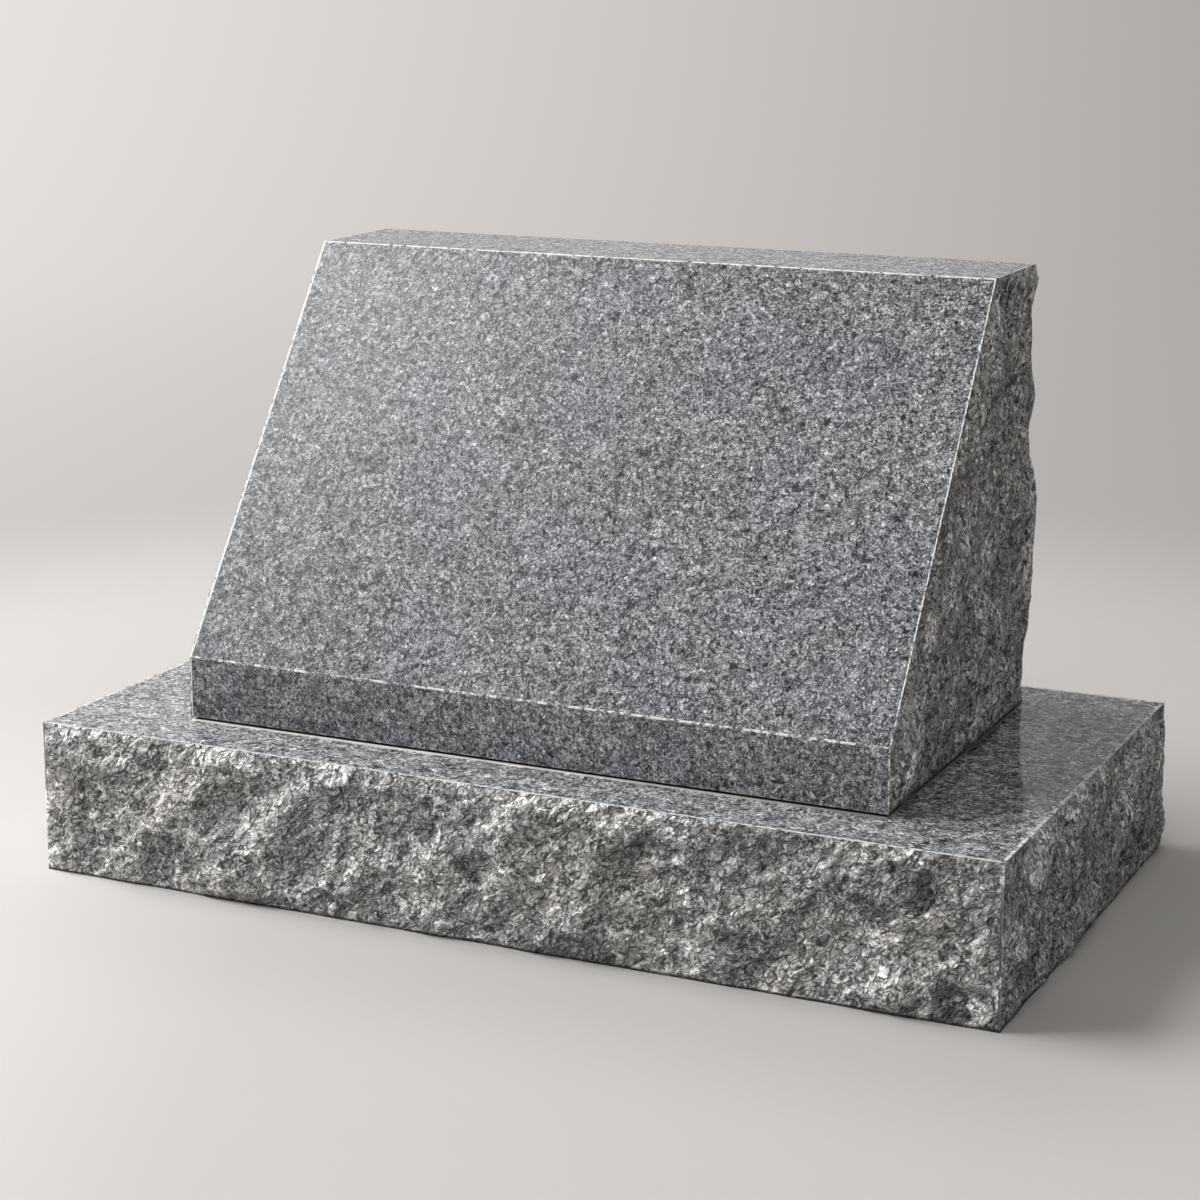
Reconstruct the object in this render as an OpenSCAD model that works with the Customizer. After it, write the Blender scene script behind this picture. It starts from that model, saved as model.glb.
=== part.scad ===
// Granite slant marker: a slanted die set on a base slab, with a thin bed of setting compound between.
// Millimetres. +Z is up, +Y runs from the slanted front to the back, and +X runs along the front.
// The origin is on the ground, under the middle of the base.

/* [Base slab] */
// Width of the base between its side arrises
base_w = 810; // [700:5:1000]
// Depth of the base between its front and back arrises
base_d = 445; // [400:5:560]
// Height of the base
base_h = 125; // [100:5:200]

/* [Slant die] */
// Width of the die between its side arrises
die_w = 600; // [450:5:660]
// Depth of the die at its foot
die_d = 330; // [260:5:360]
// Height of the die
die_h = 365; // [300:5:450]
// Height of the upright nose band below the slanted face
nose_h = 50; // [30:5:90]
// Depth of the flat top, from the back arris to the slanted face
top_d = 105; // [70:5:150]

/* [Setting joint] */
// Thickness of the setting joint between base and die
joint_t = 3; // [2:0.5:6]
// How far the raked joint is set in behind the die's faces
joint_rake = 9; // [5:1:15]
// Thickness of the thin lip of compound left at the foot of the joint
lip_t = 0.8; // [0.4:0.2:1.6]
// How far that lip is set in behind the die's faces
lip_rake = 1; // [0:0.5:3]

/* [Rock-pitched faces] */
// How far the ridges of a rock face stand proud of its arrises
pitch_bulge = 9; // [1:0.5:12]
// How far the deepest flakes go in behind the arrises
pitch_depth = 10; // [4:0.5:18]
// Length of one struck flake, along its ridges
flake_l = 72; // [50:2:110]
// Width of one struck flake, across its ridges
flake_w = 46; // [36:2:80]
// Share of the relief that lies in the smaller chips
chip_share = 0.25; // [0:0.05:0.5]
// Angle at which the ridges of the front and back climb to the right
ridge_angle = 40; // [0:5:80]
// Angle at which the ridges of the ends climb to the right
end_ridge_angle = 65; // [0:5:80]
// Band along an arris over which the rock face comes back to it
arris_band = 16; // [12:2:50]
// Size of one facet of a rock face
facet = 12; // [12:1:40]

/* [Hidden] */

stone_colour = [0.52, 0.53, 0.55];
compound_colour = [0.80, 0.79, 0.76];

die_front = -die_d / 2;
die_back = die_d / 2;
slant_run = die_d - top_d;
slant_rise = die_h - nose_h;
bed_z = base_h;
die_z = base_h + joint_t;

// How much of its relief a rock face keeps at the foot of the base and at the die's back corners
foot_relief = 0.1;
corner_relief = 0.6;

// How steeply a flake rises to its ridges, how much flakes differ in depth and how much they lean
flake_rise = 1.5;
flake_step = 0.22;
flake_lean = 1.3;

// How many times smaller the chips are than the flakes, and how far their starting number is off
chip_count = 2.3;
chip_seed = 17;

// One starting number for each face's own pattern of flakes. Opposite faces of the base share
// theirs, half a turn apart, so that the base stays centred over the origin.
base_seeds = [104, 217, 104, 217];
die_side_seeds = [331, 452];
die_back_seed = 563;

// --- Rock-face relief -------------------------------------------------------------------------

function clamp01(t) = max(0, min(1, t));
function eased(t) = let (c = clamp01(t)) c * c * (3 - 2 * c);

// Five values between 0 and 1 that belong to one cell of the flake pattern
function cell_values(i, j, seed) = rands(0, 1, 5, seed + 37 * i + 911 * j);

// Shape of the flake struck in one cell at point (p, q) of the pattern: a shallow bowl that leans,
// from 0 at the bottom of the deepest flakes to about 1 at their ridges
function flake_shape(p, q, i, j, seed) =
    let (r = cell_values(i, j, seed), dp = p - i - r[0], dq = q - j - r[1],
         lean = flake_lean * ((r[3] - 0.5) * dp + (r[4] - 0.5) * dq) + pow(flake_lean, 2) / 8)
    flake_rise * (dp * dp + dq * dq + flake_step * r[2] + lean);

// Whatever the deepest of the flakes round point (p, q) of the pattern leaves standing
function flakes(p, q, seed) =
    let (ci = floor(p), cj = floor(q))
    min([for (i = [ci - 1:ci + 1], j = [cj - 1:cj + 1]) flake_shape(p, q, i, j, seed)]);

// Rock-face level at (u, v) along and up a face whose ridges climb at an angle
function rock_level(u, v, angle, seed) =
    let (p = (u * cos(angle) + v * sin(angle)) / flake_l,
         q = (v * cos(angle) - u * sin(angle)) / flake_w,
         chips = flakes(chip_count * p, chip_count * q, seed + chip_seed),
         shape = (1 - chip_share) * flakes(p, q, seed) + chip_share * chips)
    min(pitch_bulge, (pitch_bulge + pitch_depth) * shape - pitch_depth);

// Share of the relief left at a distance from an arris that keeps part of it
function arris_share(distance, kept = 0) = kept + (1 - kept) * eased(distance / arris_band);

// --- Blocks made of rings ---------------------------------------------------------------------

// A closed block from rings of equally many points, counter-clockwise seen from above, bottom first
module ring_block(rings) {
    n = len(rings[0]);
    top = len(rings) - 1;
    middle = [for (k = [0, top]) let (r = rings[k]) [for (c = [0:2]) (min([for (p = r) p[c]])
                                                                      + max([for (p = r) p[c]])) / 2]];
    polyhedron(
        points = [for (r = rings) each r, each middle],
        faces = [
            for (k = [0:top - 1], j = [0:n - 1])
                let (a = k * n + j, b = k * n + (j + 1) % n)
                each [[a, a + n, b + n], [a, b + n, b]],
            for (j = [0:n - 1]) [(top + 1) * n, j, (j + 1) % n],
            for (j = [0:n - 1]) [(top + 1) * n + 1, top * n + (j + 1) % n, top * n + j],
        ]);
}

// Even steps from 0 to length, no longer than about one facet each
function steps(length) = let (n = max(2, round(length / facet))) [for (k = [0:n]) length * k / n];

// --- Base slab --------------------------------------------------------------------------------

// Relief of one side of the base at distance u along it and height v
function base_relief(u, v, length, angle, seed) =
    rock_level(u, v, angle, seed) * arris_share(min(u, length - u)) * arris_share(base_h - v)
    * arris_share(v, foot_relief);

// Points of one side of the base at height z, from its first corner up to but not with its last
function base_side(length, offset, turn, angle, seed, z) =
    let (along = steps(length))
    [for (k = [0:len(along) - 2])
        let (x = along[k] - length / 2,
             y = -offset - base_relief(along[k], z, length, angle, seed))
        [x * cos(turn) - y * sin(turn), x * sin(turn) + y * cos(turn), z]];

function base_ring(z) = [for (side = [0:3])
    each side % 2 == 0
        ? base_side(base_w, base_d / 2, 90 * side, ridge_angle, base_seeds[side], z)
        : base_side(base_d, base_w / 2, 90 * side, end_ridge_angle, base_seeds[side], z)];

module base_slab()
    color(stone_colour)
        ring_block([for (z = steps(base_h)) base_ring(z)]);

// --- Setting bed ------------------------------------------------------------------------------

// A flat layer of compound, set in behind the die's faces on every side
module bed_layer(rake, thickness)
    translate([-die_w / 2 + rake, die_front + rake, 0])
        cube([die_w - 2 * rake, die_d - 2 * rake, thickness]);

module setting_bed()
    color(compound_colour)
        translate([0, 0, bed_z]) {
            bed_layer(joint_rake, joint_t);
            bed_layer(lip_rake, lip_t);
        }

// --- Slant die --------------------------------------------------------------------------------

// Where the die's polished front stands at a height above its foot
function front_at(v) = die_front + max(0, v - nose_h) * slant_run / slant_rise;

// Share of the relief that the die's foot and top arrises leave at height v
function die_level_share(v) = arris_share(v) * arris_share(die_h - v);

// Relief of one rock-pitched end of the die, right (1) or left (-1), at depth y and height v
function end_relief(side, y, v, seed) =
    rock_level(side * y, v, end_ridge_angle, seed) * die_level_share(v) * arris_share((y - front_at(v)) * cos(45))
    * arris_share(die_back - y, corner_relief);

// Relief of the rock-pitched back at distance x and height v
function back_relief(x, v) =
    rock_level(-x, v, ridge_angle, die_back_seed) * die_level_share(v)
    * arris_share(die_w / 2 - abs(x), corner_relief);

// Points of one end of the die at height v, from the front arris to the back corner
function die_end(side, v) =
    let (n = len(steps(die_d)) - 1, seed = die_side_seeds[side > 0 ? 0 : 1])
    [for (k = [0:n])
        let (y = front_at(v) + (die_back - front_at(v)) * k / n,
             at_back = k == n ? back_relief(side * die_w / 2, v) : 0)
        [side * (die_w / 2 + end_relief(side, y, v, seed)), y + at_back, die_z + v]];

// Points of the back at height v between its corners, from right to left
function die_back_row(v) =
    let (across = steps(die_w))
    [for (k = [1:len(across) - 2])
        let (x = die_w / 2 - across[k])
        [x, die_back + back_relief(x, v), die_z + v]];

function reversed(list) = [for (k = [len(list) - 1:-1:0]) list[k]];
function die_ring(v) = [each die_end(1, v), each die_back_row(v), each reversed(die_end(-1, v))];

module slant_die() {
    nose_levels = steps(nose_h);
    slant_levels = [for (v = steps(slant_rise)) if (v > 0) nose_h + v];
    color(stone_colour)
        ring_block([for (v = concat(nose_levels, slant_levels)) die_ring(v)]);
}

base_slab();
setting_bed();
slant_die();
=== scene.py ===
import math

import bmesh
import bpy
from bpy.props import FloatProperty, FloatVectorProperty, IntProperty, PointerProperty
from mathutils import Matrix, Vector, kdtree, noise


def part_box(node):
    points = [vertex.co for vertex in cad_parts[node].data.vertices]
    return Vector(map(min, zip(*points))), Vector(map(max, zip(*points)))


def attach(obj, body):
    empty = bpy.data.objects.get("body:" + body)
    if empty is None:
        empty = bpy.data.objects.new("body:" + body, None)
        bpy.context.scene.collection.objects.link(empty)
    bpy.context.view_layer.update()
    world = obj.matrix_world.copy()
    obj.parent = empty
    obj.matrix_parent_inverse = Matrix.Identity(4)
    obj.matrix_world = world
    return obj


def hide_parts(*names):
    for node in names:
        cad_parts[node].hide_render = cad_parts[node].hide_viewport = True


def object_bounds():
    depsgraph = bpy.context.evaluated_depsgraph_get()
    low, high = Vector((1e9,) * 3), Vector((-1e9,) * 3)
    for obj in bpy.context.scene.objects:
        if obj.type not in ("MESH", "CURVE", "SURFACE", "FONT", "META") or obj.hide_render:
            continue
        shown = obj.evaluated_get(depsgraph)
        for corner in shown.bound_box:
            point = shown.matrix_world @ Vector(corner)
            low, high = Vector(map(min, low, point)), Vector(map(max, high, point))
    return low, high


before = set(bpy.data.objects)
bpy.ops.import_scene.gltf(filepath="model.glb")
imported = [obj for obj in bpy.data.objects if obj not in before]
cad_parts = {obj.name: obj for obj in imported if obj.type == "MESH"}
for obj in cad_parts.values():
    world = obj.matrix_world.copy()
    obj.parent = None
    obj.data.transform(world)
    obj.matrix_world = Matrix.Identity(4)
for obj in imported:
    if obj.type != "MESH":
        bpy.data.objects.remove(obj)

bl_info = {
    "name": "Granite slant marker",
    "version": (1, 0, 0),
    "blender": (4, 5, 0),
    "location": "View3D > Sidebar > Marker",
    "description": "Finishes the stones, the setting joint and the studio of a granite slant marker",
    "category": "Add Mesh",
}

CAD_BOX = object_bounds()
MM = 0.001
MERGE_DISTANCE = 1e-6
BODY = "root"

# Fixes where the chips and crystals of the broken faces lie, so that every run makes the same.
ROCK_SEED = 3

# Least upward part of the normal of a level face.
LEVEL = 0.99

# Values kept on a rock face's vertices: its painted light and its paleness from crushed crystals,
# and how far it faces along the marker.
LIT_AND_WORN = "lit_and_worn"
ACROSS = "across"

# Painted light: a broken face is paler where it leans this way, up towards the key lamp, and paler
# where it stands out on a crest or at a corner, partly crushed crystals and partly painted highlight.
PAINTED_LIGHT_WAY = Vector((-0.3, -0.3, 0.84))
PLAIN_LIT_AND_WORN = 0.5
CREST_SHARE = 0.15
MOST_LIT_AND_WORN = 1.2
CORNER_LIT_AND_WORN = 1.3
CREST_HEIGHT = 0.1 * MM

# Ways that the ridges run on the front and back, and on the ends.
FRONT_RUN = Vector((0.77, 0.0, 0.64))
END_RUN = Vector((0.0, 0.35, 0.94))

# How much a broken face's patterns are squeezed along its ridges.
RUN_SQUEEZE = 0.36

# Sizes of the patterns in the materials, from the finest to the widest.
SPECK_SIZE = 1.8 * MM
WOBBLE_SIZE = 3.0 * MM
FINE_STROKE_SIZE = 3.3 * MM
STROKE_SIZE = 5.0 * MM
POLISHED_CURL_SIZE = 5.4 * MM
MOTTLE_SIZE = 6.0 * MM
BROKEN_CURL_SIZE = 6.4 * MM
PATCH_SIZE = 9.0 * MM
SCALE_SIZE = 11.0 * MM
SWAY_SIZE = 20.0 * MM
SWAY_REACH = 26.0 * MM
FLAKE_SIZE = 46.0 * MM
DRIFT_SIZE = 80.0 * MM

# Stretches of x over which a polished face's painted shade comes in to the left and to the right.
LEFT_SHADE_SPAN = (-0.3, 0.0)
RIGHT_SHADE_SPAN = (-0.1, 0.4)

# A place far to the left of both stones, for a stone without a painted highlight along its edge.
NO_LIT_EDGE = -10.0

# Darkest and palest tone of the wall's painted light, and steps in the curve between it and the floor.
WALL_TONES = (0.36, 0.80)
SWEEP_STEPS = 12

# Finishes of a stone's faces, in the order of its materials.
POLISHED, BROKEN, BRUISED_AND_LIT = range(3)

# How the two stones' polished faces differ: share of the bluish drifts, roughness, lightness of
# the crystals, index of refraction, size of the grain, painted reflection on the flat top, painted
# shade on the nose and painted shade towards the left and right.
BASE_POLISH = {
    "tint": 0.0, "roughness": 0.04, "lightness": 1.9, "ior": 1.35, "coarseness": 1.5,
    "crown_reflection": 1.0, "nose_shade": 1.0, "left_shade": 1.0, "right_shade": 0.86,
}
DIE_POLISH = {
    "tint": 0.24, "roughness": 0.22, "lightness": 0.98, "ior": 1.39, "coarseness": 1.0,
    "crown_reflection": 1.4, "nose_shade": 0.9, "left_shade": 0.88, "right_shade": 1.0,
}


# --- Settings -----------------------------------------------------------------------------------


class MarkerRockSettings(bpy.types.PropertyGroup):
    """How the rock-pitched faces are broken."""

    base_cuts: IntProperty(
        name="Base cuts", default=5, min=1, max=12,
        description="Cuts made in each edge of the base's facets")
    die_cuts: IntProperty(
        name="Die cuts", default=4, min=1, max=12,
        description="Cuts made in each edge of the die's facets")
    smooth_rounds: IntProperty(
        name="Smoothing rounds", default=5, min=0,
        description="Rounds of smoothing that blend the facets into flakes")
    chip_size: FloatProperty(
        name="Chip size", default=15 * MM, unit="LENGTH",
        description="Width of the largest chips on the flakes")
    chip_depth: FloatProperty(
        name="Chip depth", default=9 * MM, unit="LENGTH",
        description="Depth of the largest chips on the flakes")
    grain_size: FloatProperty(
        name="Grain size", default=3.5 * MM, unit="LENGTH",
        description="Width of the crystals that stand out of a broken face")
    grain_depth: FloatProperty(
        name="Grain depth", default=0.7 * MM, unit="LENGTH",
        description="How far those crystals stand out")
    chip_stretch: FloatProperty(
        name="Chip stretch", default=1.6, min=1,
        description="How much longer a chip is along its ridges than across them")
    most_proud: FloatProperty(
        name="Most proud", default=5 * MM, min=0.1 * MM, unit="LENGTH",
        description="Farthest that the broken face stands out of its facets")
    arris_band: FloatProperty(
        name="Arris band", default=6 * MM, unit="LENGTH",
        description="Distance from an arris over which the chips come back to it")
    nick_depth: FloatProperty(
        name="Nick depth", default=0.7 * MM, unit="LENGTH",
        description="Depth of the small nicks along an arris")
    arris_width: FloatProperty(
        name="Arris width", default=1.2 * MM, unit="LENGTH",
        description="Width of the eased edge along every arris")
    # The strip is painted pale for the light that an arris catches as well as for its crushed crystals.
    bruise_and_highlight_width: FloatProperty(
        name="Bruise width", default=1.0 * MM, unit="LENGTH",
        description="Width of the crushed strip beside an arris of the die, a third of the base's")


class MarkerStoneSettings(bpy.types.PropertyGroup):
    """Colours and sizes of the granite's minerals, and of the compound."""

    crystal_size: FloatProperty(
        name="Crystal size", default=6.4 * MM, unit="LENGTH",
        description="Width of the larger feldspar crystals")
    grain_size: FloatProperty(
        name="Grain size", default=4.0 * MM, unit="LENGTH",
        description="Width of the small quartz and mica grains between them")
    pale: FloatVectorProperty(
        name="Feldspar", subtype="COLOR", default=(0.725, 0.735, 0.76),
        description="Colour of the palest feldspar")
    middle: FloatVectorProperty(
        name="Quartz", subtype="COLOR", default=(0.115, 0.122, 0.138),
        description="Colour of the grey quartz")
    dark: FloatVectorProperty(
        name="Mica", subtype="COLOR", default=(0.018, 0.019, 0.024),
        description="Colour of the dark mica")
    # Partly crushed crystals, partly painted highlight along an arris.
    bruised_and_lit: FloatVectorProperty(
        name="Bruised stone", subtype="COLOR", default=(0.92, 0.92, 0.92),
        description="Colour of the crushed crystals along an arris")
    compound: FloatVectorProperty(
        name="Setting compound", subtype="COLOR", default=(0.95, 0.94, 0.92),
        description="Colour of the setting compound")
    bead_proud: FloatProperty(
        name="Bead proud", default=2.2 * MM, unit="LENGTH",
        description="How far the bead at the foot of the joint stands out of its bed")


class MarkerStageSettings(bpy.types.PropertyGroup):
    """Camera, lamps and backdrop."""

    camera_place: FloatVectorProperty(
        name="Camera place", subtype="XYZ", unit="LENGTH", default=(0.9409, -2.0164, 0.7699),
        description="Where the camera stands")
    camera_turn: FloatProperty(
        name="Camera turn", subtype="ANGLE", default=math.radians(25.237),
        description="How far the camera turns left from looking straight back")
    camera_tilt: FloatProperty(
        name="Camera tilt", subtype="ANGLE", default=math.radians(11.433),
        description="How far the camera looks down")
    lens: FloatProperty(
        name="Lens", default=84.23, description="Focal length in millimetres")
    lens_shift: FloatProperty(
        name="Lens shift", default=-0.1, description="Vertical lens shift, as a share of the frame")
    floor_radius: FloatProperty(
        name="Floor radius", default=3.6, unit="LENGTH",
        description="Radius of the flat floor, before it sweeps up")
    sweep_radius: FloatProperty(
        name="Sweep radius", default=1.4, unit="LENGTH",
        description="Radius of the curve between floor and wall")
    wall_height: FloatProperty(
        name="Wall height", default=3.4, unit="LENGTH",
        description="Height of the backdrop's wall")
    backdrop: FloatVectorProperty(
        name="Backdrop", subtype="COLOR", default=(0.68, 0.66, 0.645),
        description="Colour of the floor and backdrop")
    key_direction: FloatVectorProperty(
        name="Key direction", subtype="DIRECTION", default=(-0.80, -0.19, 0.68),
        description="Way from the marker to the key lamp")
    key_distance: FloatProperty(
        name="Key distance", default=5.5, unit="LENGTH", description="How far the key lamp stands")
    key_size: FloatProperty(
        name="Key size", default=3.6, unit="LENGTH", description="Side of the square key lamp")
    key_power: FloatProperty(
        name="Key power", default=412.0, description="Power of the key lamp in watts")
    fill_direction: FloatVectorProperty(
        name="Fill direction", subtype="DIRECTION", default=(0.22, -0.60, 0.77),
        description="Way from the marker to the fill lamp")
    fill_distance: FloatProperty(
        name="Fill distance", default=3.5, unit="LENGTH", description="How far the fill lamp hangs")
    fill_size: FloatProperty(
        name="Fill size", default=1.2, unit="LENGTH", description="Side of the square fill lamp")
    fill_power: FloatProperty(
        name="Fill power", default=19.0, description="Power of the fill lamp in watts")
    sky: FloatProperty(
        name="Sky", default=0.14, description="Strength of the light from all around")


# --- Shader nodes -------------------------------------------------------------------------------


def add_node(tree, kind, inputs=None, **settings):
    """A shader node with its settings made, and each input set or linked."""
    made = tree.nodes.new(kind)
    for name, value in settings.items():
        setattr(made, name, value)
    for key, value in (inputs or {}).items():
        if isinstance(value, bpy.types.NodeSocket):
            tree.links.new(value, made.inputs[key])
        else:
            made.inputs[key].default_value = value
    return made


def calculate(tree, operation, *values):
    """The result of a Math node."""
    return add_node(tree, "ShaderNodeMath", dict(enumerate(values)), operation=operation).outputs[0]


def vector_math(tree, operation, *values):
    """A Vector Math node."""
    return add_node(tree, "ShaderNodeVectorMath", dict(enumerate(values)), operation=operation)


def mix_colours(tree, factor, first, second, blend="MIX"):
    """The result of a colour Mix node."""
    inputs = {0: factor, 6: first, 7: second}
    return add_node(tree, "ShaderNodeMix", inputs, data_type="RGBA", blend_type=blend).outputs[2]


def remap(tree, value, low, high, to_low=0.0, to_high=1.0, smooth=False):
    """A value moved from one range to another and clamped there."""
    kind = "SMOOTHSTEP" if smooth else "LINEAR"
    inputs = {"Value": value, "From Min": low, "From Max": high, "To Min": to_low, "To Max": to_high}
    return add_node(tree, "ShaderNodeMapRange", inputs, interpolation_type=kind).outputs["Result"]


def noise_texture(tree, vector, size, detail):
    """A Noise Texture node whose features are about size across."""
    inputs = {"Vector": vector, "Scale": 1 / size, "Detail": detail}
    return add_node(tree, "ShaderNodeTexNoise", inputs)


def cell_texture(tree, vector, size, feature="F1"):
    """A Voronoi Texture node whose cells are about size across."""
    inputs = {"Vector": vector, "Scale": 1 / size}
    return add_node(tree, "ShaderNodeTexVoronoi", inputs, feature=feature)


def new_group(name, inputs, outputs):
    """An empty shader node group with named sockets, its input node and its output node."""
    group = bpy.data.node_groups.new(name, "ShaderNodeTree")
    for socket_name, kind, default in inputs:
        socket = group.interface.new_socket(socket_name, in_out="INPUT", socket_type=kind)
        if default is not None:
            socket.default_value = default
    for socket_name, kind in outputs:
        group.interface.new_socket(socket_name, in_out="OUTPUT", socket_type=kind)
    return group, group.nodes.new("NodeGroupInput"), group.nodes.new("NodeGroupOutput")


def place_group(tree, group, inputs):
    """A node group placed in a material, with its inputs set or linked."""
    return add_node(tree, "ShaderNodeGroup", inputs, node_tree=group)


def colour4(colour, factor=1.0):
    """A colour with its alpha, made lighter or darker by a factor."""
    return (*(min(1.0, part * factor) for part in colour), 1.0)


def separate(tree, colour):
    """The three parts of a random colour, as three random values."""
    return add_node(tree, "ShaderNodeSeparateColor", {0: colour}).outputs


def split(tree, vector):
    """The x, y and z parts of a vector."""
    return add_node(tree, "ShaderNodeSeparateXYZ", {0: vector}).outputs


def attribute(tree, name):
    """A value that is kept on the mesh."""
    return add_node(tree, "ShaderNodeAttribute", attribute_name=name).outputs["Fac"]


def scale(tree, vector, factor):
    """A vector made longer or shorter, or a colour made lighter or darker."""
    inputs = {0: vector, "Scale": factor}
    return add_node(tree, "ShaderNodeVectorMath", inputs, operation="SCALE").outputs[0]


def product(tree, first, *others):
    """Several values multiplied with each other."""
    for value in others:
        first = calculate(tree, "MULTIPLY", first, value)
    return first


def weighted_sum(tree, first, *others):
    """Several values added up, each given as a pair with its share."""
    total = calculate(tree, "MULTIPLY", *first)
    for value, share in others:
        total = calculate(tree, "MULTIPLY_ADD", value, share, total)
    return total


def distance_from(tree, value, level):
    """How far a value is from a level, above or below."""
    return calculate(tree, "ABSOLUTE", calculate(tree, "SUBTRACT", value, level))


def away_from_lines(tree, place, size):
    """How far a point is from a set of winding lines, on the scale of a noise."""
    return distance_from(tree, noise_texture(tree, place, size, 2.0).outputs[0], 0.5)


def stroke_lines(tree, place, size, reach=0.06):
    """Thin winding lines that wander round the crystals, from 0 to 1."""
    return remap(tree, away_from_lines(tree, place, size), 0.2 * reach, reach, 1.0, 0.0)


def swayed(tree, place, size, reach, detail):
    """A place moved about at random, by up to half of reach along each axis."""
    way = noise_texture(tree, place, size, detail).outputs["Color"]
    way = vector_math(tree, "SUBTRACT", way, (0.5, 0.5, 0.5)).outputs[0]
    return vector_math(tree, "ADD", place, scale(tree, way, reach)).outputs[0]


def bumped(tree, height):
    """The normal of a surface that rises by this height."""
    inputs = {"Height": height, "Strength": 1.0, "Distance": 1.0}
    return add_node(tree, "ShaderNodeBump", inputs).outputs[0]


def plates(tree, place, size):
    """Crystals as leaning plates: their random values, their height, a rim of painted shade on each
    one's low side and a rim of painted highlight on its high side.
    """
    cells = cell_texture(tree, place, size)
    luck = separate(tree, cells.outputs["Color"])
    from_middle = vector_math(tree, "SUBTRACT", place, cells.outputs["Position"]).outputs[0]
    lean = vector_math(tree, "SUBTRACT", cells.outputs["Color"], (0.5, 0.5, 0.5)).outputs[0]
    rise = vector_math(tree, "DOT_PRODUCT", from_middle, lean).outputs["Value"]
    border = cell_texture(tree, place, size, "DISTANCE_TO_EDGE").outputs["Distance"]
    border = remap(tree, border, 0.06, 0.16, 1.0, 0.0)
    full_rise = 0.09 * size
    shaded_rim = product(tree, border, remap(tree, rise, 0.0, -full_rise))
    lit_rim = product(tree, border, remap(tree, rise, 0.0, full_rise))
    return luck, rise, shaded_rim, lit_rim


# --- Shared effects -----------------------------------------------------------------------------


def minerals_group(stone):
    """The mosaic of crystals that polished and broken granite share."""
    group, given, made = new_group(
        "Granite minerals",
        [("Vector", "NodeSocketVector", None),
         ("Pale", "NodeSocketColor", colour4(stone.pale)),
         ("Middle", "NodeSocketColor", colour4(stone.middle)),
         ("Dark", "NodeSocketColor", colour4(stone.dark)),
         ("Dark share", "NodeSocketFloat", 0.015),
         ("Seams", "NodeSocketFloat", 0.9),
         ("Wobble", "NodeSocketFloat", 4.0 * MM)],
        [("Color", "NodeSocketColor"), ("Dark mask", "NodeSocketFloat"),
         ("Facet height", "NodeSocketFloat")])
    place = given.outputs["Vector"]
    bent = swayed(group, place, WOBBLE_SIZE, given.outputs["Wobble"], 0.0)
    crystal_luck, crystal_rise, crystal_shaded_rim, crystal_lit_rim = plates(
        group, bent, stone.crystal_size)
    grain_luck, grain_rise, grain_shaded_rim, grain_lit_rim = plates(group, bent, stone.grain_size)

    # Each crystal and grain has its own tone, with specks on it and a painted highlight along the rim
    # of its high side.
    speck = calculate(
        group, "SUBTRACT", noise_texture(group, place, SPECK_SIZE, 1.0).outputs[0], 0.5)
    rim = calculate(group, "MAXIMUM", crystal_lit_rim, grain_lit_rim)
    tone = weighted_sum(
        group, (crystal_luck[0], 0.22), (grain_luck[0], 0.5), (speck, 1.5), (rim, 0.35))
    colour = mix_colours(
        group, remap(group, tone, 0.0, 1.0), given.outputs["Middle"], given.outputs["Pale"])

    # Dark seams run between them, more of them in some patches than in others, and the painted shade
    # along each crystal's low rim is laid in with them.
    patches = noise_texture(group, place, PATCH_SIZE, 3.0).outputs[0]
    presence = remap(group, patches, 0.36, 0.56, 0.55, 1.0)
    seam = product(group, stroke_lines(group, bent, STROKE_SIZE), presence)
    fine = product(group, stroke_lines(group, place, FINE_STROKE_SIZE), 0.6)
    for line in (fine, crystal_shaded_rim, grain_shaded_rim):
        seam = calculate(group, "MAXIMUM", seam, line)
    seam = product(group, seam, given.outputs["Seams"])

    # A few whole grains are dark, and they crowd in the same patches.
    crowding = calculate(group, "SUBTRACT", patches, 0.5)
    luck = calculate(group, "MULTIPLY_ADD", crowding, 0.5, grain_luck[1])
    limit = calculate(group, "SUBTRACT", 1.0, given.outputs["Dark share"])
    fleck = remap(group, calculate(group, "SUBTRACT", luck, limit), -0.02, 0.04, 0.0, 0.95)
    dark_mask = calculate(group, "MAXIMUM", seam, fleck)
    colour = mix_colours(group, dark_mask, colour, given.outputs["Dark"])

    group.links.new(colour, made.inputs["Color"])
    group.links.new(dark_mask, made.inputs["Dark mask"])
    group.links.new(calculate(group, "ADD", crystal_rise, grain_rise), made.inputs["Facet height"])
    return group


def curls_group():
    """Winding outlines of crystals: their field, and a factor that draws them with pale rims."""
    group, given, made = new_group(
        "Granite curls",
        [("Vector", "NodeSocketVector", None), ("Size", "NodeSocketFloat", 6 * MM),
         ("Width", "NodeSocketFloat", 0.05), ("Dark", "NodeSocketFloat", 0.2),
         ("Pale", "NodeSocketFloat", 1.5)],
        [("Field", "NodeSocketFloat"), ("Factor", "NodeSocketFloat")])
    width = given.outputs["Width"]
    field = add_node(group, "ShaderNodeTexNoise", {
        "Vector": given.outputs["Vector"],
        "Scale": calculate(group, "DIVIDE", 1.0, given.outputs["Size"]),
        "Detail": 1.0,
        "Distortion": 0.9}).outputs[0]
    outline = remap(
        group, distance_from(group, field, 0.48), product(group, width, 0.3), width,
        given.outputs["Dark"], 1.0)
    rim = remap(
        group, distance_from(group, field, 0.6), product(group, width, 0.25),
        product(group, width, 0.85), given.outputs["Pale"], 1.0)
    group.links.new(field, made.inputs["Field"])
    group.links.new(product(group, outline, rim), made.inputs["Factor"])
    return group


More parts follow.
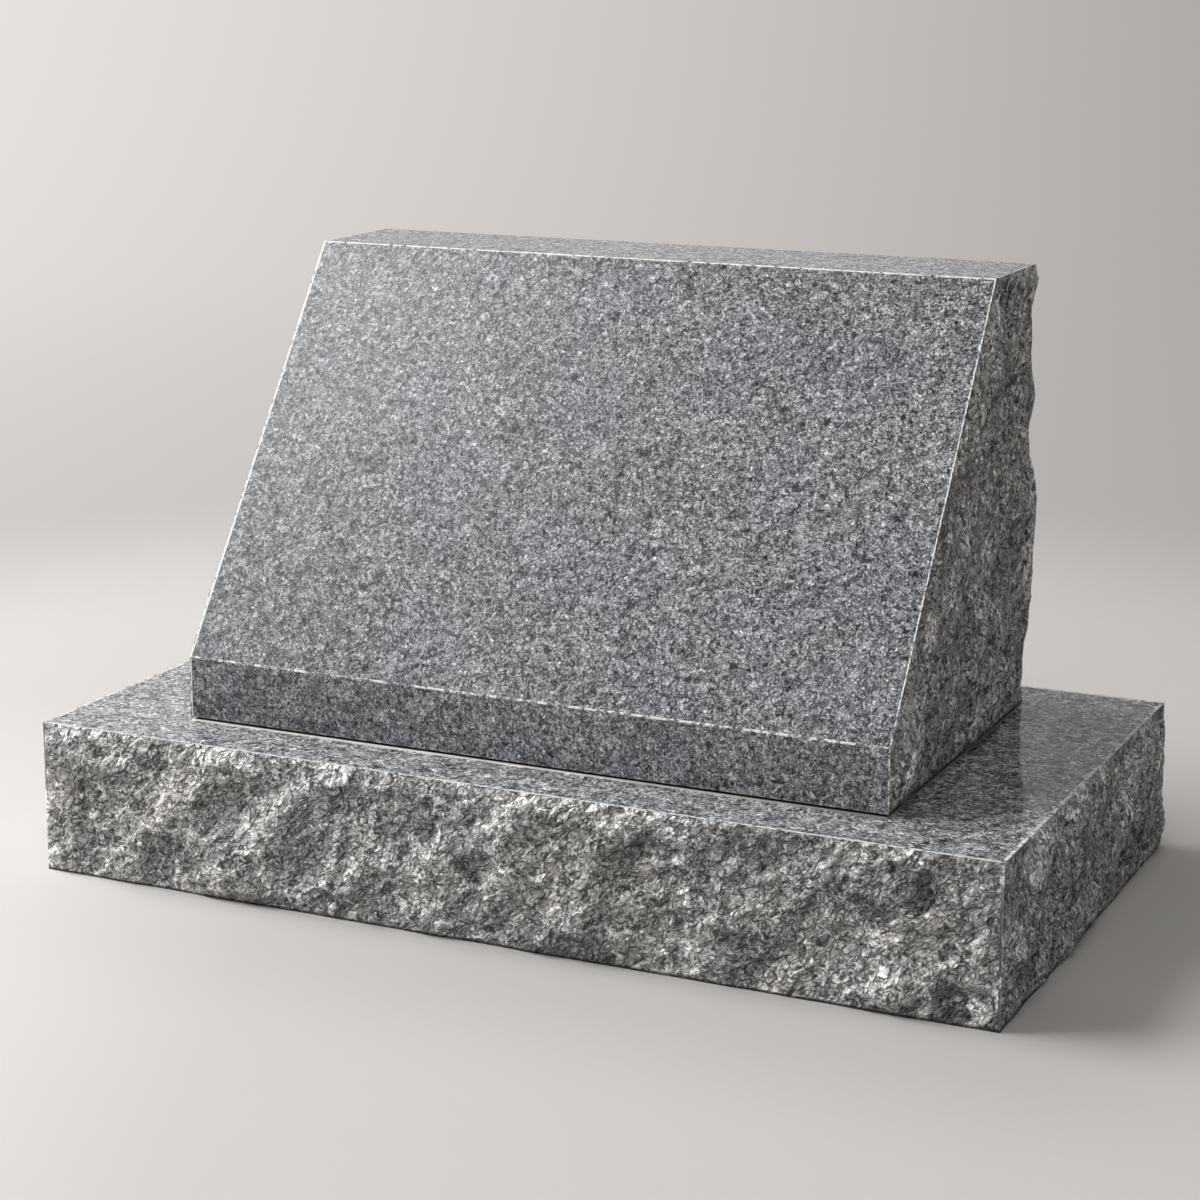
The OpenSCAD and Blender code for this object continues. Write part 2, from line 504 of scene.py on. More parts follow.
def clouds_group():
    """Slow drifts of tone and tint across a stone."""
    group, given, made = new_group(
        "Granite clouds",
        [("Vector", "NodeSocketVector", None), ("Color", "NodeSocketColor", None),
         ("Tint", "NodeSocketColor", (0.90, 0.96, 1.14, 1.0)),
         ("Amount", "NodeSocketFloat", 0.5)],
        [("Color", "NodeSocketColor")])
    drift = noise_texture(group, given.outputs["Vector"], DRIFT_SIZE, 3.0).outputs[0]
    share = product(
        group, remap(group, drift, 0.46, 0.64, smooth=True), given.outputs["Amount"])
    tinted = mix_colours(group, 1.0, given.outputs["Color"], given.outputs["Tint"], "MULTIPLY")
    group.links.new(mix_colours(group, share, given.outputs["Color"], tinted), made.inputs["Color"])
    return group


# --- Materials ----------------------------------------------------------------------------------


def start_material(name):
    """A new material with its tree, its Principled BSDF and the object's own coordinates."""
    material = bpy.data.materials.new(name)
    material.use_nodes = True
    tree = material.node_tree
    shader = next(n for n in tree.nodes if n.type == "BSDF_PRINCIPLED")
    place = add_node(tree, "ShaderNodeTexCoord").outputs["Object"]
    return material, tree, shader, place


def polished_granite(name, stone_settings, groups, polish):
    """Polished granite: reflections over a mosaic of crystals, painted reflection on the flat top,
    painted shade on the nose and to the sides, and a pale line of painted highlight along the edge that
    faces the key lamp.
    """
    minerals, curls, clouds = groups
    material, tree, shader, place = start_material(name)
    coarseness = polish["coarseness"]
    stone = place_group(tree, minerals, {
        "Vector": scale(tree, place, 1 / coarseness),
        "Pale": colour4(stone_settings.pale, polish["lightness"]),
        "Middle": colour4(stone_settings.middle, polish["lightness"]),
        "Seams": 0.7})
    tinted = place_group(tree, clouds, {
        "Vector": place, "Color": stone.outputs["Color"], "Amount": polish["tint"]})
    curl = place_group(tree, curls, {
        "Vector": place, "Size": POLISHED_CURL_SIZE * coarseness, "Width": 0.045, "Dark": 0.2,
        "Pale": 1.5})

    sideways, _, height = split(tree, place)
    crown = polish["crown"]
    nose = polish["nose"]
    # Painted reflection on the flat top, painted shade below the nose's top and towards each side.
    tone = product(
        tree,
        curl.outputs["Factor"],
        remap(tree, height, crown - 0.6 * MM, crown - 0.1 * MM, 1.0, polish["crown_reflection"]),
        remap(tree, height, nose - 0.5 * MM, nose + 0.5 * MM, polish["nose_shade"], 1.0),
        remap(tree, sideways, *RIGHT_SHADE_SPAN, 1.0, polish["right_shade"]),
        remap(tree, sideways, *LEFT_SHADE_SPAN, polish["left_shade"], 1.0))
    # Painted highlight: a pale line along the edge that faces the key lamp.
    edge = polish["lit_edge"]
    edge_highlight = remap(tree, sideways, edge + 1.4 * MM, edge + 2.1 * MM, 0.9, 0.0)
    colour = mix_colours(
        tree, edge_highlight, scale(tree, tinted.outputs["Color"], tone), colour4(stone_settings.bruised_and_lit))
    tree.links.new(colour, shader.inputs["Base Color"])

    gloss = polish["roughness"]
    roughness = remap(tree, stone.outputs["Dark mask"], 0.0, 1.0, gloss, gloss + 0.05)
    tree.links.new(roughness, shader.inputs["Roughness"])
    shader.inputs["IOR"].default_value = polish["ior"]
    return material


def along_run(tree, place, across):
    """A place squeezed along its face's ridges, so that the patterns on it come out long."""
    run = vector_math(
        tree, "ADD", scale(tree, END_RUN - FRONT_RUN, across), FRONT_RUN).outputs[0]
    along = vector_math(tree, "DOT_PRODUCT", place, run).outputs["Value"]
    shift = scale(tree, run, product(tree, along, -RUN_SQUEEZE))
    return vector_math(tree, "ADD", place, shift).outputs[0]


def rock_granite(name, groups, foot):
    """Broken granite: the same crystals, paler and without a polish, with painted light and shade on it
    and a painted shadow where it stands.
    """
    minerals, curls, clouds = groups
    material, tree, shader, place = start_material(name)
    sideways, _, height = split(tree, place)
    across = attribute(tree, ACROSS)
    place = along_run(tree, place, across)
    stone = place_group(tree, minerals, {
        "Vector": place,
        "Pale": (1.0, 0.995, 0.985, 1.0),
        "Middle": (0.70, 0.697, 0.69, 1.0),
        "Dark": (0.045, 0.044, 0.042, 1.0),
        "Dark share": 0.0,
        "Seams": 0.6,
        "Wobble": 3.0 * MM})
    tinted = place_group(tree, clouds, {
        "Vector": place, "Color": stone.outputs["Color"], "Tint": (1.05, 1.0, 0.93, 1.0),
        "Amount": 0.25})
    curl = place_group(tree, curls, {
        "Vector": place, "Size": BROKEN_CURL_SIZE, "Width": 0.06, "Dark": 0.25, "Pale": 1.5})

    # Painted light and shade: flakes wider than the crystals differ in tone at random, as if each faced
    # the lamps its own way, mostly to the right and least on the ends, with painted shade along each
    # flake's low rim and a painted highlight along its high rim.
    flakes = plates(tree, swayed(tree, place, SWAY_SIZE, SWAY_REACH, 1.0), FLAKE_SIZE)
    flake_luck, _, flake_shaded_rim, flake_lit_rim = flakes
    spread = product(
        tree, remap(tree, sideways, -0.2, 0.3, 0.1, 1.1), remap(tree, across, 0.0, 1.0, 1.0, 0.3))
    facing = calculate(tree, "SUBTRACT", flake_luck[0], 0.5)
    tone = product(
        tree,
        # Painted shadow: nearly black just above the foot, where the stone meets the floor or the
        # joint.
        remap(tree, height, foot + 1.2 * MM, foot + 3.0 * MM, 0.06, 1.0),
        # Painted shade: the broken ends are darker than the front and back.
        remap(tree, across, 0.0, 1.0, 1.0, 0.82),
        # Painted light and shade: paler towards the key lamp on the left, darker to the right.
        remap(tree, sideways, -0.4, 0.4, 1.08, 0.9),
        # Painted light, with crushed crystals on crests and corners: paler where a face leans up
        # towards the key lamp.
        remap(tree, attribute(tree, LIT_AND_WORN), 0.0, 1.8, 0.5, 2.3),
        curl.outputs["Factor"],
        calculate(tree, "MULTIPLY_ADD", facing, spread, 1.0),
        # Painted shade on each flake's low rim and a painted highlight on its high rim.
        remap(tree, flake_shaded_rim, 0.0, 1.0, 1.0, 0.75),
        remap(tree, flake_lit_rim, 0.0, 1.0, 1.0, 1.35))
    tree.links.new(scale(tree, tinted.outputs["Color"], tone), shader.inputs["Base Color"])
    shader.inputs["Roughness"].default_value = 0.55
    shader.inputs["Specular IOR Level"].default_value = 0.7

    relief = weighted_sum(
        tree,
        (away_from_lines(tree, place, SCALE_SIZE), -18 * MM),
        (stone.outputs["Facet height"], 1.6),
        (curl.outputs["Field"], 8 * MM),
        (noise_texture(tree, place, SPECK_SIZE, 1.0).outputs[0], 2.2 * MM))
    tree.links.new(bumped(tree, relief), shader.inputs["Normal"])
    return material


def bruised_and_lit_arris(name, stone, minerals, foot):
    """The pale line along an arris, partly crushed crystals and partly painted highlight, broken where
    a dark crystal meets it.
    """
    material, tree, shader, place = start_material(name)
    grain = place_group(tree, minerals, {"Vector": place})
    sideways, _, height = split(tree, place)
    right = CAD_BOX[1].x

    # The line has more gaps low on a stone, and more along the base's right edge, where it stands in
    # shade and takes less painted highlight.
    wear = noise_texture(tree, place, STROKE_SIZE, 3.0).outputs[0]
    low_gaps = remap(tree, height, foot + 60 * MM, foot + 80 * MM, 0.08, 0.0)
    right_shade_gaps = remap(tree, sideways, right - 20 * MM, right - 14 * MM, 0.0, 0.03)
    wear = calculate(tree, "SUBTRACT", wear, low_gaps)
    wear = calculate(tree, "SUBTRACT", wear, right_shade_gaps)
    share = product(
        tree,
        remap(tree, wear, 0.38, 0.48, smooth=True),
        remap(tree, height, foot + 3 * MM, foot + 6 * MM),
        calculate(tree, "MULTIPLY_ADD", grain.outputs["Dark mask"], -0.3, 1.0))
    colour = mix_colours(tree, share, grain.outputs["Color"], colour4(stone.bruised_and_lit))
    tree.links.new(colour, shader.inputs["Base Color"])
    shader.inputs["Roughness"].default_value = 0.45
    return material


def compound_material(name, stone, corner):
    """Pale, matt setting compound, with painted shade to the right and a painted shadow inside the
    joint's corner.
    """
    material, tree, shader, place = start_material(name)
    mottle = noise_texture(tree, place, MOTTLE_SIZE, 3.0).outputs[0]
    colour = mix_colours(
        tree, remap(tree, mottle, 0.3, 0.7), colour4(stone.compound, 0.9),
        colour4(stone.compound, 1.05))
    outwards = vector_math(tree, "ABSOLUTE", place).outputs[0]
    outwards = split(tree, vector_math(tree, "SUBTRACT", outwards, corner).outputs[0])
    outwards = calculate(tree, "MAXIMUM", outwards[0], outwards[1])
    tone = product(
        tree,
        # Painted shadow: nearly black inside the joint's corner.
        remap(tree, outwards, -1.2 * MM, -0.2 * MM, 0.04, 1.0),
        # Painted shade: darker towards the right.
        remap(tree, split(tree, place)[0], 0.0, corner.x - 8 * MM, 1.0, 0.3))
    tree.links.new(scale(tree, colour, tone), shader.inputs["Base Color"])
    shader.inputs["Roughness"].default_value = 0.8
    tree.links.new(bumped(tree, product(tree, mottle, 0.3 * MM)), shader.inputs["Normal"])
    return material


def shared_group(name, build):
    """A node group by name, built the first time that it is asked for."""
    return bpy.data.node_groups.get(name) or build()


def stone_materials(prefix, foot, polish):
    """The polished and broken finishes of one stone, and its arrises of bruised stone and painted
    highlight; it stands at the height foot.
    """
    stone = bpy.context.scene.marker_stone
    groups = (shared_group("Granite minerals", lambda: minerals_group(stone)),
              shared_group("Granite curls", curls_group),
              shared_group("Granite clouds", clouds_group))
    return [
        polished_granite(prefix + " polished", stone, groups, polish),
        rock_granite(prefix + " rock-pitched", groups, foot),
        bruised_and_lit_arris(prefix + " arris", stone, groups[0], foot),
    ]


# --- Stone meshes -------------------------------------------------------------------------------


def dominant_side(normal):
    """The level axis that a rock face looks along most."""
    if abs(normal.x) > abs(normal.y):
        return Vector((math.copysign(1, normal.x), 0, 0))
    return Vector((0, math.copysign(1, normal.y), 0))


def open_rock_shell(node, is_dressed, cuts):
    """A stone's rock faces from the frame, cut fine, and open where its dressed faces were."""
    bm = bmesh.new()
    bm.from_mesh(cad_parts[node].data)
    bmesh.ops.remove_doubles(bm, verts=bm.verts[:], dist=MERGE_DISTANCE)
    bmesh.ops.delete(bm, geom=[f for f in bm.faces if is_dressed(f.normal)], context="FACES")
    bmesh.ops.join_triangles(
        bm, faces=bm.faces[:], angle_face_threshold=math.pi, angle_shape_threshold=math.pi)
    bmesh.ops.subdivide_edges(bm, edges=bm.edges[:], cuts=cuts, use_grid_fill=True)
    bm.normal_update()
    return bm


def corner_verts(bm):
    """The vertices on a shell's open edges, and those on its corners between two rock faces."""
    rim = {v for e in bm.edges if e.is_boundary for v in e.verts}
    folded = {v for e in bm.edges
              if len(e.link_faces) == 2 and dominant_side(e.link_faces[0].normal).dot(
                  dominant_side(e.link_faces[1].normal)) < 0.5
              for v in e.verts}
    return rim, folded


def crags(point, size):
    """Height, in sizes, of sharp ridges that break up at three scales."""
    height = 0.0
    share = 1.0
    for _ in range(3):
        height += share * (0.22 - abs(noise.noise(point / size)))
        point = point.zxy
        size *= 0.47
        share *= 0.55
    return height


def along_ridges(point, side, stretch):
    """A point squeezed along the way that the ridges of its face run, so that they come out long."""
    run = FRONT_RUN if side.x == 0 else END_RUN
    return point - run * point.dot(run) * (1 - 1 / stretch)


def broken_height(point, side, rock):
    """How far the broken stone stands out or in at a point, away from any arris."""
    bent = point + noise.noise_vector(point / rock.chip_size) * 0.3 * rock.chip_size
    bent = along_ridges(bent, side, rock.chip_stretch)
    height = crags(bent, rock.chip_size) * rock.chip_depth
    if height < 0:
        return height
    return height * rock.most_proud / (height + rock.most_proud)


def mark_faces(bm, folded):
    """Keeps on each vertex its painted light and crushed-crystal paleness, and how far it faces along
    x.
    """
    lit_and_worn = bm.verts.layers.float[LIT_AND_WORN]
    across = bm.verts.layers.float[ACROSS]
    for vert in bm.verts:
        around = sum((e.other_vert(vert).co for e in vert.link_edges), Vector())
        around /= len(vert.link_edges)
        crest = (vert.co - around).dot(vert.normal) / CREST_HEIGHT
        crest = max(-1.0, min(2.5, crest))
        side = dominant_side(vert.normal)
        lean = vert.normal - side * vert.normal.dot(side)
        # Painted light where the face leans up towards the key lamp; crests and corners paler, partly
        # crushed crystals and partly painted highlight.
        lit_and_worn_share = PLAIN_LIT_AND_WORN + lean.dot(PAINTED_LIGHT_WAY) + CREST_SHARE * crest
        vert[lit_and_worn] = CORNER_LIT_AND_WORN if vert in folded else min(MOST_LIT_AND_WORN, lit_and_worn_share)
        vert[across] = abs(side.x)


def nick(place):
    """Depth of the nicks along an arris at a place, as a share of the deepest."""
    return max(0.0, noise.noise(place / (4 * MM)) + 0.3 * noise.noise(place / (14 * MM)))


def break_faces(bm, rock):
    """Chips a shell's flakes, and leaves its arrises straight but nicked."""
    for name in (LIT_AND_WORN, ACROSS):
        bm.verts.layers.float.new(name)
    rim, folded = corner_verts(bm)
    held = rim | folded
    inner = [v for v in bm.verts if v not in held]
    for _ in range(rock.smooth_rounds):
        bmesh.ops.smooth_vert(
            bm, verts=inner, factor=0.5, use_axis_x=True, use_axis_y=True, use_axis_z=True)
    bm.normal_update()
    mark_faces(bm, folded)
    arrises = kdtree.KDTree(len(held))
    for index, vert in enumerate(held):
        arrises.insert(vert.co, index)
    arrises.balance()
    shifts = []
    for vert in bm.verts:
        side = dominant_side(vert.normal)
        if vert in held:
            shifts.append(side * -nick(vert.co) * rock.nick_depth)
            continue
        near = min(1.0, (arrises.find(vert.co)[2] / rock.arris_band) ** 1.6)
        height = broken_height(vert.co, side, rock)
        crystal = noise.noise_vector(vert.co / rock.grain_size) * rock.grain_depth
        shifts.append(vert.normal * height * near + crystal * min(1.0, near * 2))
    for vert, shift in zip(bm.verts, shifts):
        vert.co += shift


def vert_at(bm, place):
    """The shell's vertex nearest to a place."""
    return min(bm.verts, key=lambda v: (v.co - place).length_squared)


def close_plane(bm, point, normal):
    """Fills the flat opening that lies in a plane with one dressed face."""
    flat = [e for e in bm.edges if (e.is_boundary or e.is_wire)
            and all(abs((v.co - point).dot(normal)) < 10 * MERGE_DISTANCE for v in e.verts)]
    made = bmesh.ops.contextual_create(bm, geom=flat)
    return made["faces"]


def add_object(bm, name, materials):
    """Puts a finished mesh in the scene as an object at the origin."""
    mesh = bpy.data.meshes.new(name)
    bm.to_mesh(mesh)
    bm.free()
    for material in materials:
        mesh.materials.append(material)
    made = bpy.data.objects.new(name, mesh)
    bpy.context.scene.collection.objects.link(made)
    return made


def ease_arrises(bm, dressed, bruise_and_highlight, rock):
    """Gives each face its finish, and eases every arris between two strips of bruised stone and painted
    highlight.
    """
    dressed = set(dressed)
    bmesh.ops.recalc_face_normals(bm, faces=bm.faces[:])
    for face in bm.faces:
        face.material_index = POLISHED if face in dressed else BROKEN
        face.smooth = False
    shown = [f for f in bm.faces if f in dressed and f.normal.z > -0.5]
    strips = bmesh.ops.inset_individual(bm, faces=shown, thickness=bruise_and_highlight, use_even_offset=True)
    for face in strips["faces"]:
        face.material_index = BRUISED_AND_LIT
    dressed |= set(strips["faces"])
    low = Vector([min(v.co[axis] for v in bm.verts) for axis in range(3)])
    high = Vector([max(v.co[axis] for v in bm.verts) for axis in range(3)])
    arrises = [e for e in bm.edges if any(f in dressed for f in e.link_faces)
               and max(v.co.z for v in e.verts) > low.z + MM]
    eased = bmesh.ops.bevel(
        bm, geom=arrises, offset=rock.arris_width, offset_type="OFFSET", segments=2,
        profile=0.5, affect="EDGES", material=-1, clamp_overlap=True)
    for vert in eased["verts"]:
        vert.co = [max(low[axis], min(high[axis], vert.co[axis])) for axis in range(3)]
    for face in eased["faces"]:
        face.material_index = BRUISED_AND_LIT
        face.smooth = False
    bmesh.ops.dissolve_degenerate(bm, dist=MERGE_DISTANCE, edges=bm.edges[:])
    bmesh.ops.recalc_face_normals(bm, faces=bm.faces[:])


# --- Operators ----------------------------------------------------------------------------------


class MARKER_OT_base_slab(bpy.types.Operator):
    """Breaks the sides of the base, polishes its top and eases its arrises"""

    bl_idname = "marker.base_slab"
    bl_label = "Base slab"

    def execute(self, context):
        rock = context.scene.marker_rock
        low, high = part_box("base_slab")
        cuts = rock.base_cuts
        bm = open_rock_shell("base_slab", lambda normal: abs(normal.z) > LEVEL, cuts)
        break_faces(bm, rock)
        top = close_plane(bm, high, Vector((0, 0, 1)))
        underside = close_plane(bm, low, Vector((0, 0, 1)))
        ease_arrises(bm, top + underside, 3 * rock.bruise_and_highlight_width, rock)
        polish = {**BASE_POLISH, "crown": high.z, "nose": low.z, "lit_edge": NO_LIT_EDGE}
        stone = add_object(bm, "base_slab_stone", stone_materials("Base", low.z, polish))
        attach(stone, BODY)
        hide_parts("base_slab")
        return {"FINISHED"}


def die_outline():
    """The die's polished profile: foot, top of the nose, top of the slant, as (y, z) pairs."""
    low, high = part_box("slant_die")
    verts = [v.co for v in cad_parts["slant_die"].data.vertices]
    nose_top = max(co.z for co in verts if co.y < low.y + MERGE_DISTANCE)
    slant_top = min(co.y for co in verts if co.z > high.z - MERGE_DISTANCE)
    return (low.y, low.z), (low.y, nose_top), (slant_top, high.z)


class MARKER_OT_slant_die(bpy.types.Operator):
    """Breaks the ends and back of the die, polishes its front and top and eases its arrises"""

    bl_idname = "marker.slant_die"
    bl_label = "Slant die"

    def execute(self, context):
        rock = context.scene.marker_rock

        def is_dressed(normal):
            return abs(normal.x) < 0.02 and (normal.y < -0.3 or abs(normal.z) > LEVEL)

        cuts = rock.die_cuts
        bm = open_rock_shell("slant_die", is_dressed, cuts)
        break_faces(bm, rock)
        low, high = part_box("slant_die")
        foot, nose_top, slant_top = die_outline()
        for y, z in (foot, nose_top, slant_top):
            left, right = (vert_at(bm, Vector((x, y, z))) for x in (low.x, high.x))
            bm.edges.new((left, right))
        left_edge = left.co.x
        slope = Vector((0, slant_top[1] - nose_top[1], nose_top[0] - slant_top[0]))
        dressed = []
        for (y, z), normal in (
                (foot, Vector((0, 0, 1))), (foot, Vector((0, 1, 0))),
                (nose_top, slope.normalized()), (slant_top, Vector((0, 0, 1)))):
            dressed += close_plane(bm, Vector((0, y, z)), normal)
        ease_arrises(bm, dressed, rock.bruise_and_highlight_width, rock)
        polish = {**DIE_POLISH, "crown": high.z, "nose": nose_top[1], "lit_edge": left_edge}
        stone = add_object(bm, "slant_die_stone", stone_materials("Die", low.z, polish))
        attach(stone, BODY)
        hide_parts("slant_die")
        return {"FINISHED"}


class MARKER_OT_setting_bed(bpy.types.Operator):
    """Runs a thin pale bead of compound round the foot of the joint, proud of the die"""

    bl_idname = "marker.setting_bed"
    bl_label = "Setting bed"

    def execute(self, context):
        stone = context.scene.marker_stone
        low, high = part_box("setting_bed")
        middle = (low.y + high.y) / 2
        half_depth = (high.y - low.y) / 2

        def past_rim(vert):
            return abs(vert.co.x) - high.x, abs(vert.co.y - middle) - half_depth

        bm = bmesh.new()
        bm.from_mesh(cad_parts["setting_bed"].data)
        bmesh.ops.remove_doubles(bm, verts=bm.verts[:], dist=MERGE_DISTANCE)
        rim = [v for v in bm.verts if min(past_rim(v)) > -MERGE_DISTANCE]
        for vert in rim:
            vert.co.x += math.copysign(0.1 * stone.bead_proud, vert.co.x)
            vert.co.y += math.copysign(stone.bead_proud, vert.co.y - middle)
        bmesh.ops.join_triangles(
            bm, faces=bm.faces[:], angle_face_threshold=0.01, angle_shape_threshold=math.pi)
        lip_edges = [e for e in bm.edges if all(v in rim for v in e.verts)
                     and abs(e.verts[0].co.z - e.verts[1].co.z) < MERGE_DISTANCE
                     and e.calc_length() > 0.1]
        bmesh.ops.subdivide_edges(bm, edges=lip_edges, cuts=90, use_grid_fill=True)
        bmesh.ops.recalc_face_normals(bm, faces=bm.faces[:])
        for vert in bm.verts:
            if max(past_rim(vert)) >= 0:
                sway = noise.noise_vector(Vector((vert.co.x, vert.co.y, 0)) / (22 * MM))
                vert.co.x += sway.x * stone.bead_proud * 0.4
                vert.co.y += sway.y * stone.bead_proud * 0.4
        bead = add_object(
            bm, "setting_bead", [compound_material("Setting compound", stone, high)])
        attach(bead, BODY)
        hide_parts("setting_bed")
        return {"FINISHED"}


class MARKER_OT_stage(bpy.types.Operator):
    """Puts the marker on a round pale sweep, with its lamps and camera"""

    bl_idname = "marker.stage"
    bl_label = "Stage"

    def execute(self, context):
        stage = context.scene.marker_stage
        self.make_sweep(stage)
        self.make_lamps(context, stage)
        self.make_camera(context, stage)
        return {"FINISHED"}

    def make_sweep(self, stage):
        """A flat round floor that curves up into a wall all round."""
        bm = bmesh.new()
        profile = [(0.0, 0.0), (stage.floor_radius, 0.0)]
        for step in range(1, SWEEP_STEPS + 1):
            angle = math.pi / 2 * step / SWEEP_STEPS
            profile.append((stage.floor_radius + stage.sweep_radius * math.sin(angle),
                            stage.sweep_radius * (1 - math.cos(angle))))
        profile.append((stage.floor_radius + stage.sweep_radius, stage.wall_height))
        verts = [bm.verts.new((x, 0, z)) for x, z in profile]
        edges = [bm.edges.new(pair) for pair in zip(verts, verts[1:])]
        bmesh.ops.spin(
            bm, geom=verts + edges, cent=(0, 0, 0), axis=(0, 0, 1), angle=math.tau, steps=96,
            use_merge=True)
        bmesh.ops.remove_doubles(bm, verts=bm.verts[:], dist=MERGE_DISTANCE)
        bmesh.ops.recalc_face_normals(bm, faces=bm.faces[:])
        for face in bm.faces:
            face.smooth = True
        sweep = add_object(bm, "sweep", [self.backdrop_material(stage)])

    def backdrop_material(self, stage):
        """A lit, shadowed floor round the marker, and beyond it a glowing graded tone of painted light.
        """
        material, tree, shader, place = start_material("Backdrop")
        tree.links.new(self.floor_colour(tree, place, stage), shader.inputs["Base Color"])
        shader.inputs["Roughness"].default_value = 0.9
        shader.inputs["Specular IOR Level"].default_value = 0.1
        flat = vector_math(tree, "MULTIPLY", place, (1.0, 1.0, 0.0)).outputs[0]
        reach = vector_math(tree, "LENGTH", flat).outputs["Value"]
        path = add_node(tree, "ShaderNodeLightPath").outputs
        seen = calculate(tree, "MAXIMUM", path["Is Camera Ray"], path["Is Glossy Ray"])
        seen = calculate(tree, "MAXIMUM", seen, path["Is Transmission Ray"])
        mixed = add_node(tree, "ShaderNodeMixShader", {
            0: product(tree, remap(tree, reach, 0.9, 1.6, smooth=True), seen),
            1: shader.outputs[0],
            2: self.painted_light_wall(tree, place)})
        output = next(n for n in tree.nodes if n.type == "OUTPUT_MATERIAL")
        tree.links.new(mixed.outputs[0], output.inputs["Surface"])
        return material

    def floor_colour(self, tree, place, stage):
        """The floor's colour: painted shade to the right and close in front, painted light in front on
        the left.
        """
        sideways, depth, _ = split(tree, place)
        # Painted shade: the paper darkens towards the right, away from the key lamp.
        rightward_shade = remap(tree, sideways, -1.0, 1.0)
        paper = mix_colours(
            tree, rightward_shade, colour4(stage.backdrop, 1.03), colour4(stage.backdrop, 0.88))
        edge = CAD_BOX[1]
        outside = vector_math(tree, "ABSOLUTE", place).outputs[0]
        outside = vector_math(tree, "SUBTRACT", outside, (edge.x, edge.y, 0.0)).outputs[0]
        outside = vector_math(tree, "MAXIMUM", outside, (0.0, 0.0, 0.0)).outputs[0]
        apart = vector_math(tree, "LENGTH", outside).outputs["Value"]
        # Painted shade close in front of the marker.
        painted_contact_shade = product(
            tree,
            remap(tree, apart, 0.0, 0.25, 0.16, 0.0, smooth=True),
            remap(tree, depth, -edge.y, -0.5 * edge.y, 1.0, 0.0),
            remap(tree, sideways, -0.5, 0.0, 0.0, 1.0))
        leftwards = vector_math(tree, "DOT_PRODUCT", place, (-0.905, -0.426, 0.0)).outputs["Value"]
        # Painted light: a brighter pool in front on the left.
        painted_light_pool = product(
            tree, remap(tree, leftwards, 0.28, 0.47), remap(tree, depth, -0.15, 0.2, 1.0, 0.0))
        tone = product(
            tree, calculate(tree, "SUBTRACT", 1.0, painted_contact_shade),
            calculate(tree, "MULTIPLY_ADD", painted_light_pool, 0.13, 1.0))
        return scale(tree, paper, tone)

    def painted_light_wall(self, tree, place):
        """Painted light: a glowing tone that falls from left to right, away from the key lamp, and
        takes no light or shadow.
        """
        across = vector_math(tree, "DOT_PRODUCT", place, (-0.1213, -0.0324, 0.0)).outputs["Value"]
        tone = calculate(tree, "ADD", across, 0.482)
        tone = remap(tree, tone, *WALL_TONES, *WALL_TONES)
        tint = scale(tree, (1.045, 1.0, 0.97), tone)
        return add_node(tree, "ShaderNodeEmission", {"Color": tint, "Strength": 1.0}).outputs[0]

    def make_lamps(self, context, stage):
        """A large soft key lamp on the left, a smaller one overhead and an even sky."""
        self.hang_lamp(context, "key", stage.key_direction, stage.key_distance, stage.key_size,
                       stage.key_power)
        self.hang_lamp(context, "fill", stage.fill_direction, stage.fill_distance,
                       stage.fill_size, stage.fill_power)
        world = bpy.data.worlds.new("sky")
        world.use_nodes = True
        background = next(n for n in world.node_tree.nodes if n.type == "BACKGROUND")
        background.inputs["Color"].default_value = (1.0, 0.99, 0.97, 1.0)
        background.inputs["Strength"].default_value = stage.sky
        context.scene.world = world

    def hang_lamp(self, context, name, direction, distance, size, power):
        """A square lamp that faces the marker and that the camera doesn't see."""
        direction = Vector(direction).normalized()
        data = bpy.data.lights.new(name, "AREA")
        data.shape = "SQUARE"
        data.size = size
        data.energy = power
        lamp = bpy.data.objects.new(name, data)
        lamp.location = Vector((0, 0, 0.2)) + direction * distance
        lamp.rotation_euler = direction.to_track_quat("Z", "Y").to_euler()
        lamp.visible_camera = False
        context.scene.collection.objects.link(lamp)

    def make_camera(self, context, stage):
        """The camera, level from side to side."""
        data = bpy.data.cameras.new("camera")
        data.lens = stage.lens
        data.sensor_width = 36
        data.shift_y = stage.lens_shift
        data.clip_end = 50
        camera = bpy.data.objects.new("camera", data)
        camera.location = stage.camera_place
        camera.rotation_euler = (math.pi / 2 - stage.camera_tilt, 0, stage.camera_turn)
        context.scene.collection.objects.link(camera)
        context.scene.camera = camera
        context.scene.view_settings.view_transform = "Standard"


class MARKER_PT_panel(bpy.types.Panel):
    """Lists the marker's pieces and their settings"""

    bl_idname = "MARKER_PT_panel"
    bl_label = "Granite slant marker"
    bl_space_type = "VIEW_3D"
    bl_region_type = "UI"
    bl_category = "Marker"

    def draw(self, context):
        for operator in OPERATORS:
            self.layout.operator(operator.bl_idname)
        for group in (context.scene.marker_rock, context.scene.marker_stone,
                      context.scene.marker_stage):
            box = self.layout.box()
            for name in group.bl_rna.properties.keys():
                if name not in ("rna_type", "name"):
                    box.prop(group, name)


OPERATORS = (MARKER_OT_base_slab, MARKER_OT_slant_die, MARKER_OT_setting_bed, MARKER_OT_stage)
SETTINGS = {
    "marker_rock": MarkerRockSettings,
    "marker_stone": MarkerStoneSettings,
    "marker_stage": MarkerStageSettings,
}


def register():
    """Makes the settings, operators and panel known."""
    for cls in (*SETTINGS.values(), *OPERATORS, MARKER_PT_panel):
        bpy.utils.register_class(cls)
    for name, cls in SETTINGS.items():
        setattr(bpy.types.Scene, name, PointerProperty(type=cls))


def unregister():
    """Takes them away again."""
    for name in SETTINGS:
        delattr(bpy.types.Scene, name)
    for cls in (MARKER_PT_panel, *reversed(OPERATORS), *SETTINGS.values()):
        bpy.utils.unregister_class(cls)


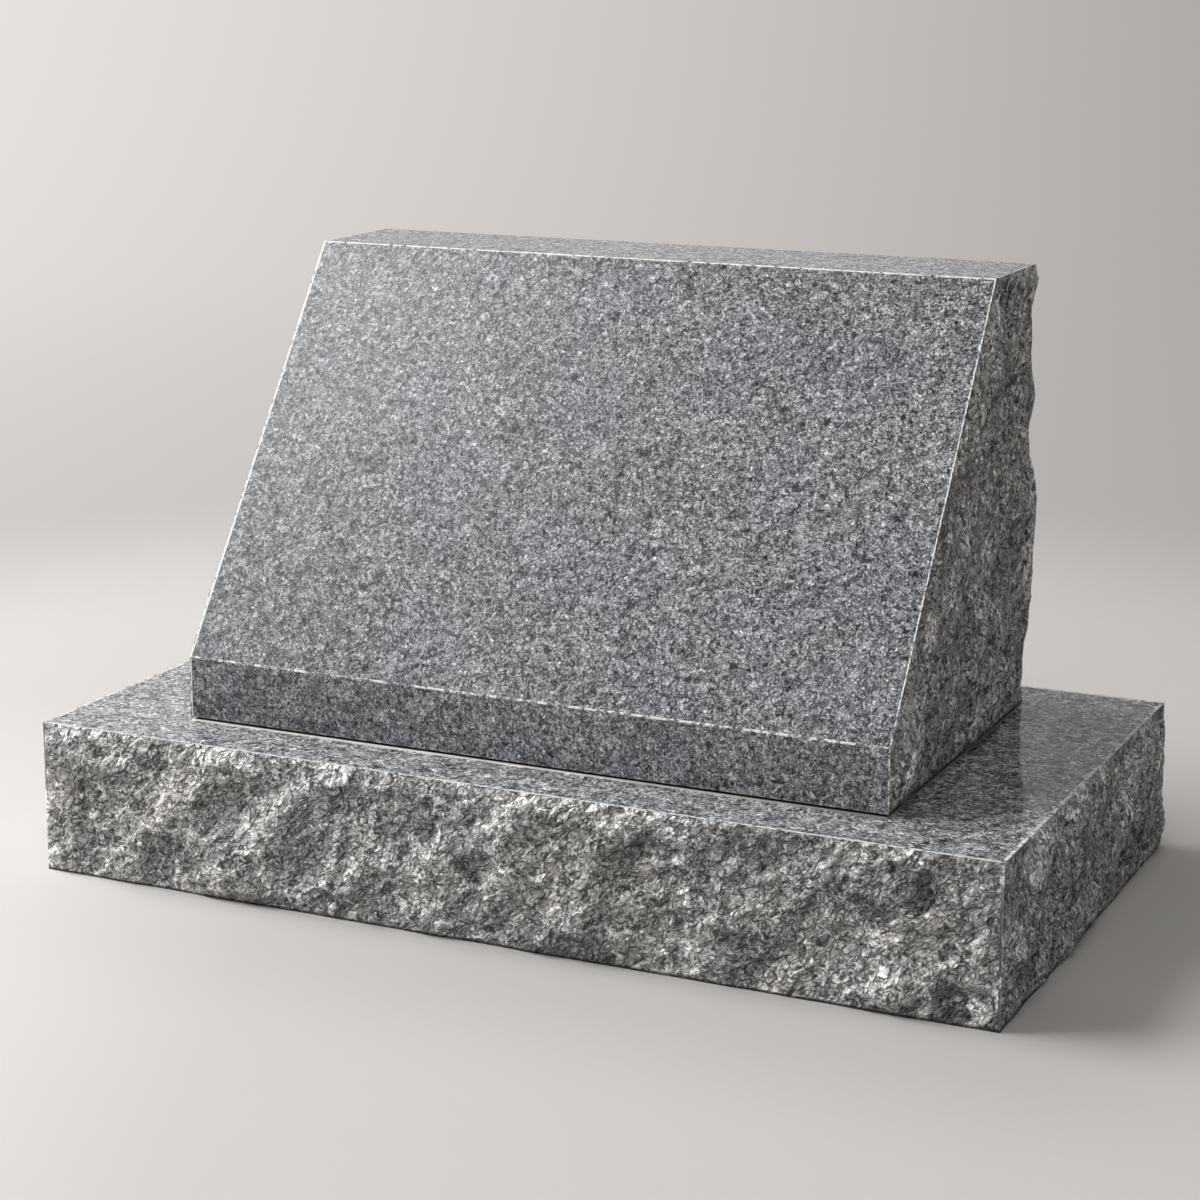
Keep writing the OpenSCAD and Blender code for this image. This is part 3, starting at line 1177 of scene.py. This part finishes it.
def main():
    """Makes every piece and the stage."""
    register()
    noise.seed_set(ROCK_SEED)
    bpy.ops.marker.base_slab()
    bpy.ops.marker.setting_bed()
    bpy.ops.marker.slant_die()
    bpy.ops.marker.stage()


if __name__ == "__main__":
    main()
